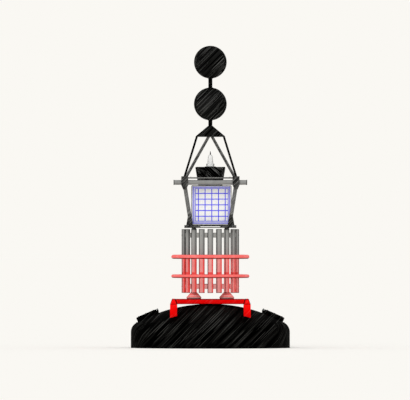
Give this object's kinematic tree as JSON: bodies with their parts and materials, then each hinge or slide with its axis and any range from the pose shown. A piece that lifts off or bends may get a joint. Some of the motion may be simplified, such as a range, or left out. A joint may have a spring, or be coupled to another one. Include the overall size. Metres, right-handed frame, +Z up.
{
  "type": "navigation buoy",
  "caption": "Steel light buoy afloat: domed float, slatted daymark, solar stage, LED lantern and a topmark of black balls.",
  "frame": {"origin": "on the buoy's axis at the waterline", "axes": "+Z up the mast, -Y towards the front of the daymark, +X to the right seen from the front"},
  "size_m": [3, 3, 7.7496],
  "materials": {
    "black_enamel": "semi-gloss black marine enamel",
    "red_enamel": "semi-gloss red marine enamel",
    "pale_red_enamel": "sun-faded red marine enamel",
    "grey_enamel": "satin grey marine enamel",
    "dark_grey_enamel": "satin dark grey marine enamel",
    "galvanised_steel": "hot-dip galvanised",
    "cast_iron": "as cast, tarred",
    "solar_laminate": "glass-faced cells, pale",
    "clear_acrylic": "clear moulded lens"
  },
  "bodies": {
    "buoy": {"float_hull": "black_enamel", "tail_tube": "black_enamel", "ballast_weight": "cast_iron", "mooring_eye_left": "black_enamel", "mooring_eye_right": "black_enamel", "pocket_coaming_left": "black_enamel", "pocket_coaming_right": "black_enamel", "lid_pin_left": "galvanised_steel", "lid_pin_right": "galvanised_steel", "base_rail_left": "red_enamel", "base_rail_right": "red_enamel", "base_leg_front_left": "red_enamel", "base_leg_front_right": "red_enamel", "base_leg_rear_left": "red_enamel", "base_leg_rear_right": "red_enamel", "cross_beam_front": "red_enamel", "cross_beam_rear": "red_enamel", "tower_post_front_left": "pale_red_enamel", "tower_post_front_right": "pale_red_enamel", "tower_post_rear_left": "pale_red_enamel", "tower_post_rear_right": "pale_red_enamel", "daymark_front": "grey_enamel", "daymark_right": "grey_enamel", "daymark_rear": "grey_enamel", "daymark_left": "grey_enamel", "ring_rail_upper": "pale_red_enamel", "ring_rail_lower": "pale_red_enamel", "platform": "grey_enamel", "upper_leg_front_left": "grey_enamel", "upper_leg_front_right": "grey_enamel", "upper_leg_rear_left": "grey_enamel", "upper_leg_rear_right": "grey_enamel", "corner_bracket_front_left": "dark_grey_enamel", "corner_bracket_front_right": "dark_grey_enamel", "corner_bracket_rear_left": "dark_grey_enamel", "corner_bracket_rear_right": "dark_grey_enamel", "rail_tube_front": "grey_enamel", "rail_tube_rear": "grey_enamel", "tie_tube_left": "grey_enamel", "tie_tube_right": "grey_enamel", "solar_panel_front": "solar_laminate", "solar_panel_rear": "solar_laminate", "lantern_plate": "grey_enamel", "lantern_housing": "black_enamel", "lens_base": "dark_grey_enamel", "lantern_lens": "clear_acrylic", "topmark_cap": "black_enamel", "topmark_bar_front_left": "black_enamel", "topmark_bar_front_right": "black_enamel", "topmark_bar_rear_left": "grey_enamel", "topmark_bar_rear_right": "grey_enamel", "topmark_mast": "black_enamel", "topmark_ball_lower": "black_enamel", "topmark_ball_upper": "black_enamel"},
    "lid_left": {"pocket_lid_left": "black_enamel"},
    "lid_right": {"pocket_lid_right": "black_enamel"}
  },
  "joints": [
    {"name": "lid_left_hinge", "type": "hinge", "parent": "buoy", "child": "lid_left", "pos_m": [-1.00194, 0, 0.72754], "axis": [0, 1, 0], "range_deg": [0, 105]},
    {"name": "lid_right_hinge", "type": "hinge", "parent": "buoy", "child": "lid_right", "pos_m": [1.00194, 0, 0.72754], "axis": [0, -1, 0], "range_deg": [0, 105]}
  ]
}
